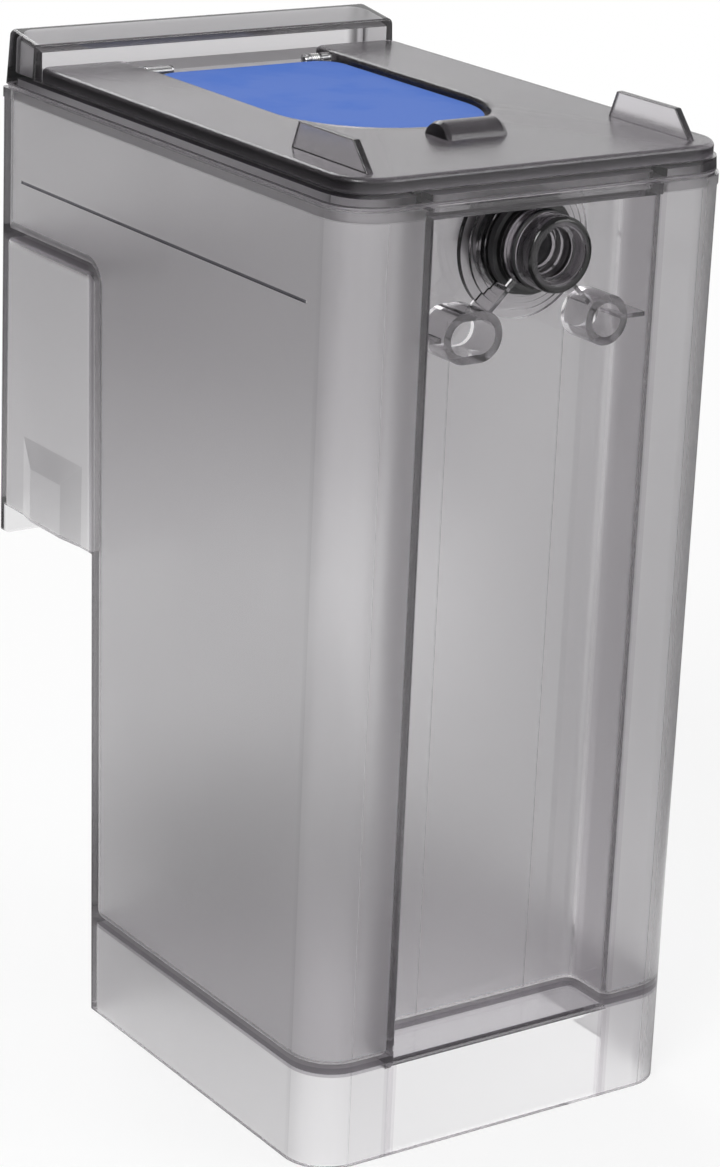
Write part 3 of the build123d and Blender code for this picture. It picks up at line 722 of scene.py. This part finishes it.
class Finish(Enum):
    """The finishes on the assembly."""

    TANK = TankSmoke("tank_smoke", depth=100.0, frost_and_shade_tint=(0.97, 0.96, 0.97))
    LID = LidSmoke("lid_smoke", depth=340.0, frost=0.35)
    PLATE = PlateSmoke(
        "plate_smoke",
        tint=(0.95, 0.93, 0.95),
        depth=200.0,
        roughness=0.22,
        frost=0.15,
        # The upright edge's dark tint is painted shade.
        frost_and_shade_tint=(0.45, 0.43, 0.46),
    )
    CLEAR = SmokeClear("carrier_clear", tint=(0.97, 0.97, 0.97), depth=35.0, roughness=0.03)
    BRACKET = SmokeClear("bracket_smoke", tint=(0.9, 0.89, 0.9), depth=150.0, roughness=0.05)
    NOZZLE = SmokeClear("nozzle_clear", tint=(0.97, 0.96, 0.97), depth=40.0, roughness=0.08)
    SLEEVE = SmokeClear("sleeve_smoke", tint=(0.5, 0.48, 0.5), depth=500.0, roughness=0.08)
    SILICONE = SmokeClear("gasket_silicone", tint=(0.97, 0.96, 0.97), depth=40.0, roughness=0.35)
    RUBBER = Moulded("black_rubber", (0.012, 0.012, 0.013), (0.035, 0.035, 0.036), 0.45)
    BLACK = Moulded("black_gloss", (0.008, 0.008, 0.009), (0.016, 0.016, 0.017), 0.12)
    BLUE = Moulded(
        "blue_satin",
        (0.035, 0.125, 0.49),
        (0.038, 0.13, 0.5),
        0.5,
        patch=0.02,
        shine=0.18,
    )
    STEEL = DrawnSteel("bright_steel")
    PIN = DrawnSteel("pin_steel", colour=(0.32, 0.32, 0.33), roughness=0.35)


class Wardrobe:
    """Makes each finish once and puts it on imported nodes."""

    def __init__(self) -> None:
        """Starts with no finish made."""
        self.made: dict[Finish, bpy.types.Material] = {}

    def material(self, finish: Finish) -> bpy.types.Material:
        """Finds a finish's material, and makes it the first time.

        Args:
            finish: The finish.

        Returns:
            The material.
        """
        if finish not in self.made:
            self.made[finish] = finish.value.material()
        return self.made[finish]

    def dress(self, node: str, finish: Finish) -> None:
        """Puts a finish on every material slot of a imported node.

        Args:
            node: The node's name.
            finish: The finish that it takes.
        """
        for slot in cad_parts[node].material_slots:
            slot.material = self.material(finish)
        log.info("%s wears %s", node, finish.value.name)


# ------------------------------------------------------------------ sub-assemblies
@dataclass
class TankUnit:
    """The tank moulding."""

    def build(self, wardrobe: Wardrobe) -> None:
        """Dresses the tank."""
        wardrobe.dress("tank_body", Finish.TANK)


@dataclass
class PortUnit:
    """The inlet port: bracket, nozzle, sleeve, seals and nut."""

    def build(self, wardrobe: Wardrobe) -> None:
        """Dresses the port's pieces.

        Args:
            wardrobe: Where the finishes come from.
        """
        wardrobe.dress("port_bracket", Finish.BRACKET)
        wardrobe.dress("port_nozzle", Finish.NOZZLE)
        wardrobe.dress("nozzle_sleeve", Finish.SLEEVE)
        wardrobe.dress("port_lock_nut", Finish.BLACK)
        for rubber in ("port_seal", "nozzle_o_ring", "port_inner_washer"):
            wardrobe.dress(rubber, Finish.RUBBER)


@dataclass
class ValveUnit:
    """The sprung check valve inside the nozzle.

    Attributes:
        wire: The spring wire's diameter.
        turns: How many turns the spring has.
        steps: How many steps one turn is drawn with.
        sides: How many sides the wire is drawn with.
    """

    wire: float = 0.0007
    turns: int = 6
    steps: int = 40
    sides: int = 14

    def coil(self, low: Vector, high: Vector) -> tuple[np.ndarray, list[list[int]]]:
        """Works out the spring's mesh.

        The wire's middle runs round the valve's line at a constant radius while it goes
        back evenly. The wire's sides stand round it in the plane of the outward direction
        and of the one square to both that and the wire.

        Args:
            low: The spring's lowest corner.
            high: The spring's highest corner.

        Returns:
            The points and the faces.
        """
        radius = (high.x - low.x - self.wire) / 2
        turn = np.linspace(0.0, 2.0 * np.pi * self.turns, self.turns * self.steps + 1)
        rise = (high.y - low.y - self.wire) / turn[-1]
        across, upward = np.cos(turn), np.sin(turn)
        outward = np.stack([across, np.zeros_like(turn), upward], axis=-1)
        back = np.stack([np.zeros_like(turn), turn * rise, np.zeros_like(turn)], axis=-1)
        start = ((low.x + high.x) / 2, low.y + self.wire / 2, (low.z + high.z) / 2)
        middle = np.array(start) + outward * radius + back
        along = np.stack([-radius * upward, np.full_like(turn, rise), radius * across], axis=-1)
        square = np.cross(along / np.linalg.norm(along, axis=-1, keepdims=True), outward)
        side = np.linspace(0.0, 2.0 * np.pi, self.sides, endpoint=False)
        skin = np.multiply.outer(np.cos(side), outward) + np.multiply.outer(np.sin(side), square)
        points = (middle + skin * self.wire / 2).transpose(1, 0, 2).reshape(-1, 3)
        rings, steps = np.arange(len(turn) - 1), np.arange(self.sides)
        ring, step = np.meshgrid(rings * self.sides, steps, indexing="ij")
        after, on = (step + 1) % self.sides, ring + self.sides
        quads = np.stack([ring + step, ring + after, on + after, on + step], axis=-1)
        first = steps[::-1].tolist()
        last = (len(points) - self.sides + steps).tolist()
        return points, [*quads.reshape(-1, 4).tolist(), first, last]

    def spring(self, wardrobe: Wardrobe) -> bpy.types.Object:
        """Makes the valve's spring as a fixed coil; the real spring shortens towards its rear end
        as the valve opens.

        Args:
            wardrobe: Where its material comes from.

        Returns:
            The spring's object.
        """
        low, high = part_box("valve_spring")
        points, faces = self.coil(low, high)
        mesh = bpy.data.meshes.new("valve_coil")
        mesh.from_pydata(points.tolist(), [], faces)
        mesh.validate()
        mesh.shade_smooth()
        coil = bpy.data.objects.new("valve_coil", mesh)
        bpy.context.scene.collection.objects.link(coil)
        coil.data.materials.append(wardrobe.material(Finish.STEEL))
        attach(coil, "tank")
        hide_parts("valve_spring")
        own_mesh(coil)
        log.info("valve_coil")
        return coil

    def build(self, wardrobe: Wardrobe) -> None:
        """Dresses the valve's pieces and makes its spring.

        Args:
            wardrobe: Where the finishes come from.
        """
        wardrobe.dress("valve_poppet", Finish.BLACK)
        wardrobe.dress("valve_retainer", Finish.BLACK)
        wardrobe.dress("poppet_washer", Finish.RUBBER)
        self.spring(wardrobe)


@dataclass
class LidUnit:
    """The lift-off lid with its hinge pins and spring."""

    def build(self, wardrobe: Wardrobe) -> None:
        """Dresses the lid's pieces.

        Args:
            wardrobe: Where the finishes come from.
        """
        wardrobe.dress("lid_base", Finish.LID)
        wardrobe.dress("lid_top_plate", Finish.PLATE)
        for soft in ("lid_gasket", "flap_gasket"):
            wardrobe.dress(soft, Finish.SILICONE)
        for pin in ("hinge_pin_left", "hinge_pin_right"):
            wardrobe.dress(pin, Finish.PIN)
        wardrobe.dress("flap_spring", Finish.STEEL)


@dataclass
class FlapUnit:
    """The filling flap: a clear carrier with a blue panel on it."""

    def build(self, wardrobe: Wardrobe) -> None:
        """Dresses the flap's pieces."""
        wardrobe.dress("fill_flap", Finish.CLEAR)
        wardrobe.dress("flap_panel", Finish.BLUE)


# ------------------------------------------------------------------ studio
@dataclass(frozen=True)
class SoftLamp:
    """One round soft lamp that faces a point on the tank.

    Attributes:
        name: The lamp's name.
        stand: Where it stands.
        width: Its diameter in metres.
        power: Its power in watts.
    """

    name: str
    stand: Triple
    width: float
    power: float

    def hang(self, aim: Vector) -> None:
        """Adds the lamp to the scene, turned towards a point.

        Args:
            aim: The point that it faces.
        """
        lamp = bpy.data.lights.new(self.name, "AREA")
        lamp.shape = "DISK"
        lamp.size = self.width
        lamp.energy = self.power
        holder = bpy.data.objects.new(self.name, lamp)
        bpy.context.scene.collection.objects.link(holder)
        holder.location = self.stand
        holder.rotation_euler = (Vector(self.stand) - aim).to_track_quat("Z", "Y").to_euler()
        log.info("lamp %s", self.name)


@dataclass
class Studio:
    """The pale floor, the white surround, the lamps and the camera.

    The smoke plastic shows the surround as it mirrors and bends it, so the surround and
    the floor are dimmer in some places for those rays. Each span is a pair: where a change
    starts and where it is full.

    Attributes:
        floor_radius: The floor's radius.
        floor_drop: How far the floor is under the tank, so that they don't share a plane.
        floor_colour: The matt floor's colour.
        floor_roughness: The matt floor's roughness.
        near_far: The distances from the tank at which the floor starts to turn plain white
            and is plain white.
        lit_share: The white share of the near floor, to the camera.
        bent_share: The same, to mirrored and bent rays.
        white: The surround's level behind the tank.
        ambient: The surround's level for the rays that only light the scene.
        overhead: The surround's level overhead.
        overhead_span: The heights of direction at which it is white and at that level.
        beside: The level beside the tank.
        beside_sky: The directions across the line at which the surround is at that level
            and white.
        beside_floor: The same for the floor, in metres.
        line: The direction of the studio's middle line, away from the camera.
        shaded: The middle of the floor's dim patch for mirrored rays, a painted shadow.
        shaded_span: The distances from it at which the floor is dim and white.
        right_span: The shares of a place's direction that run along +X at which the floor
            starts to dim and is dim.
        right_reach: The distances from the tank at which that starts and is full.
        flag: How dim that part is for bent rays.
        lee_line: How far across the line the painted shadow behind the foot lies.
        lee_span: The distances across from there at which it is dark and gone.
        lee_front: The distances along the line at which the shadow starts and is full.
        lee_back: The distances along the line at which it is full and gone.
        lee_dark: How dark it is.
        gain_span: The distances across the line between which the floor's level for
            mirrored and bent rays changes.
        gain: That level at both.
        lens: The camera's focal length in millimetres.
        sensor: The camera's sensor height in millimetres.
        eye: Where the camera stands.
        across: The camera's direction to the right.
        upward: The camera's direction up.
        ahead: The camera's direction of view.
        lamps: The soft lamps.
    """

    floor_radius: float = 6.0
    floor_drop: float = 0.0002
    floor_colour: Triple = (0.86, 0.86, 0.86)
    floor_roughness: float = 0.85
    near_far: Pair = (0.35, 1.4)
    lit_share: float = 0.72
    bent_share: float = 0.85
    white: float = 1.0
    ambient: float = 0.55
    overhead: float = 0.35
    overhead_span: Pair = (0.35, 0.8)
    beside: float = 0.12
    beside_sky: Pair = (-0.85, -0.25)
    beside_floor: Pair = (-0.8, -0.45)
    line: Pair = (0.568, 0.823)
    shaded: Triple = (-0.18, -0.12, 0.0)
    shaded_span: Pair = (0.24, 0.36)
    right_span: Pair = (0.66, 0.85)
    right_reach: Pair = (0.15, 0.3)
    flag: float = 0.7
    lee_line: float = -0.001
    lee_span: Pair = (0.02, 0.055)
    lee_front: Pair = (0.0, 0.04)
    lee_back: Pair = (0.17, 0.26)
    lee_dark: float = 0.95
    gain_span: Pair = (-0.08, 0.08)
    gain: Pair = (0.95, 1.13)
    lens: float = 109.01
    sensor: float = 36.0
    eye: Triple = (-0.5274, -0.7730, 0.4512)
    across: Triple = (0.83040, -0.55567, 0.04076)
    upward: Triple = (0.14833, 0.29100, 0.94515)
    ahead: Triple = (0.53706, 0.77881, -0.32407)
    lamps: tuple[SoftLamp, ...] = (
        SoftLamp("key_lamp", (-1.6, -0.9, 1.9), 1.2, 30.0),
        SoftLamp("fill_lamp", (1.5, -1.6, 1.2), 1.4, 14.0),
        SoftLamp("back_lamp", (0.3, 1.9, 1.8), 1.4, 16.0),
    )

    def rays(self, tree: Tree) -> tuple[Wire, Wire, Wire]:
        """Sorts the rays that show the surround as it looks.

        Args:
            tree: The tree that asks.

        Returns:
            Flags for rays straight from the camera, for mirrored and bent rays, and for
            mirrored rays alone.
        """
        camera, glossy, bent = (
            tree.node("ShaderNodeLightPath", {}, {}, f"Is {kind} Ray")
            for kind in ("Camera", "Glossy", "Transmission")
        )
        return camera, glossy.most(bent) * (1.0 - camera), glossy * (1.0 - bent)

    def aside(self, way: Wire) -> Wire:
        """Measures how far a place or direction is to the right of the studio's middle line."""
        return way.axis("X") * self.line[1] - way.axis("Y") * self.line[0]

    def along(self, way: Wire) -> Wire:
        """Measures how far a place or direction is along the studio's middle line."""
        return way.axis("X") * self.line[0] + way.axis("Y") * self.line[1]

    def surround(self) -> None:
        """Makes the world: white behind the tank, dimmer overhead and beside it."""
        world = bpy.data.worlds.new("surround")
        bpy.context.scene.world = world
        tree = Tree(world, "ShaderNodeOutputWorld")
        camera, bent, _ = self.rays(tree)
        way = tree.node("ShaderNodeTexCoord", {}, {}, "Generated")
        dim = way.axis("Z").over(*self.overhead_span, 1.0, self.overhead)
        dim = dim * self.aside(way).over(*self.beside_sky, self.beside, 1.0)
        level = camera * self.white + bent * dim + (1.0 - camera.most(bent)) * self.ambient
        sky = tree.node("ShaderNodeBackground", {}, {"Color": (1.0, 1.0, 1.0), "Strength": level})
        tree.show(sky)

    def floor(self) -> bpy.types.Object:
        """Makes the round floor.

        A point at ring r and turn t lies at (r cos t, r sin t), just under the tank, with
        the rings spaced as the square of their number so that they are finer near it.

        Returns:
            The floor's object.
        """
        rings, turns = 24, 96
        reach = self.floor_radius * (np.arange(1, rings + 1) / rings) ** 2
        turn = np.linspace(0.0, 2.0 * np.pi, turns, endpoint=False)
        grid = np.stack(
            [
                np.outer(reach, np.cos(turn)),
                np.outer(reach, np.sin(turn)),
                np.full((rings, turns), -self.floor_drop),
            ],
            axis=-1,
        ).reshape(-1, 3)
        points = np.vstack([grid, [[0.0, 0.0, -self.floor_drop]]])
        ring, step = np.meshgrid(np.arange(rings - 1), np.arange(turns), indexing="ij")
        after, inner, outer = (step + 1) % turns, ring * turns, (ring + 1) * turns
        quads = np.stack([inner + step, outer + step, outer + after, inner + after], axis=-1)
        first = np.arange(turns)
        fan = np.stack([np.full(turns, rings * turns), first, (first + 1) % turns], axis=-1)
        mesh = bpy.data.meshes.new("floor")
        mesh.from_pydata(points.tolist(), [], quads.reshape(-1, 4).tolist() + fan.tolist())
        mesh.update()
        sheet = bpy.data.objects.new("floor", mesh)
        bpy.context.scene.collection.objects.link(sheet)
        sheet.data.materials.append(self.floor_material())
        log.info("floor")
        return sheet

    def floor_material(self) -> bpy.types.Material:
        """Makes the floor's pale matt finish, which turns plain white further out.

        Returns:
            The material.
        """
        made = bpy.data.materials.new("floor_pale")
        tree = Tree(made)
        spot = tree.place()
        camera, bent, mirrored = self.rays(tree)
        matt = tree.node(
            "ShaderNodeBsdfPrincipled",
            {},
            {"Base Color": self.floor_colour, "Roughness": self.floor_roughness},
        )
        length = spot.distance((0.0, 0.0, 0.0))
        rightward = (spot.axis("X") / length).over(*self.right_span)
        rightward = rightward * length.over(*self.right_reach)
        # A painted shadow beside the tank, seen only in reflections.
        shaded = spot.distance(self.shaded).over(*self.shaded_span, 1.0, 0.0)
        unlit = mirrored * (1.0 - self.beside)
        # A painted shadow behind the foot, seen only through the plastic.
        lee = abs(self.aside(spot) - self.lee_line).over(*self.lee_span, self.lee_dark, 0.0)
        behind = self.along(spot)
        lee = lee * behind.over(*self.lee_front) * behind.over(*self.lee_back, 1.0, 0.0)
        dark = (shaded * unlit).most(rightward * unlit.most(bent * self.flag)).most(lee * bent)
        level = self.aside(spot).over(*self.beside_floor, self.beside, 1.0)
        gain = bent * (self.aside(spot).over(*self.gain_span, *self.gain) - 1.0) + 1.0
        level = (level * (1.0 - dark) * gain).most(camera)
        glow = tree.node("ShaderNodeEmission", {}, {"Color": (1.0, 1.0, 1.0), "Strength": level})
        away = length.over(*self.near_far)
        share = camera * (away * (1.0 - self.lit_share) + self.lit_share)
        share = share + bent * (away * (1.0 - self.bent_share) + self.bent_share)
        tree.show(tree.node("ShaderNodeMixShader", {}, {0: share, 1: matt, 2: glow}))
        return made

    def camera(self) -> None:
        """Stands the camera in front of the tank, above it and to its left."""
        held = bpy.data.cameras.new("camera")
        held.sensor_fit = "VERTICAL"
        held.sensor_height = self.sensor
        held.lens = self.lens
        eye = bpy.data.objects.new("camera", held)
        bpy.context.scene.collection.objects.link(eye)
        turned = Matrix((self.across, self.upward, [-part for part in self.ahead])).transposed()
        eye.matrix_world = Matrix.Translation(self.eye) @ turned.to_4x4()
        bpy.context.scene.camera = eye
        log.info("camera")

    def build(self) -> None:
        """Sets the whole studio up."""
        scene = bpy.context.scene
        scene.view_settings.view_transform = "Standard"
        scene.cycles.max_bounces = 32
        scene.cycles.transmission_bounces = 32
        scene.cycles.transparent_max_bounces = 32
        scene.cycles.glossy_bounces = 8
        self.surround()
        self.floor()
        middle = (cad_box[0] + cad_box[1]) / 2
        for lamp in self.lamps:
            lamp.hang(middle)
        self.camera()


def main() -> None:
    """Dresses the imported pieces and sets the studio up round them."""
    logging.basicConfig(level=logging.INFO, format="%(name)s: %(message)s")
    wardrobe = Wardrobe()
    for unit in (TankUnit(), PortUnit(), ValveUnit(), LidUnit(), FlapUnit()):
        unit.build(wardrobe)
    Studio().build()


if __name__ == "__main__":
    main()
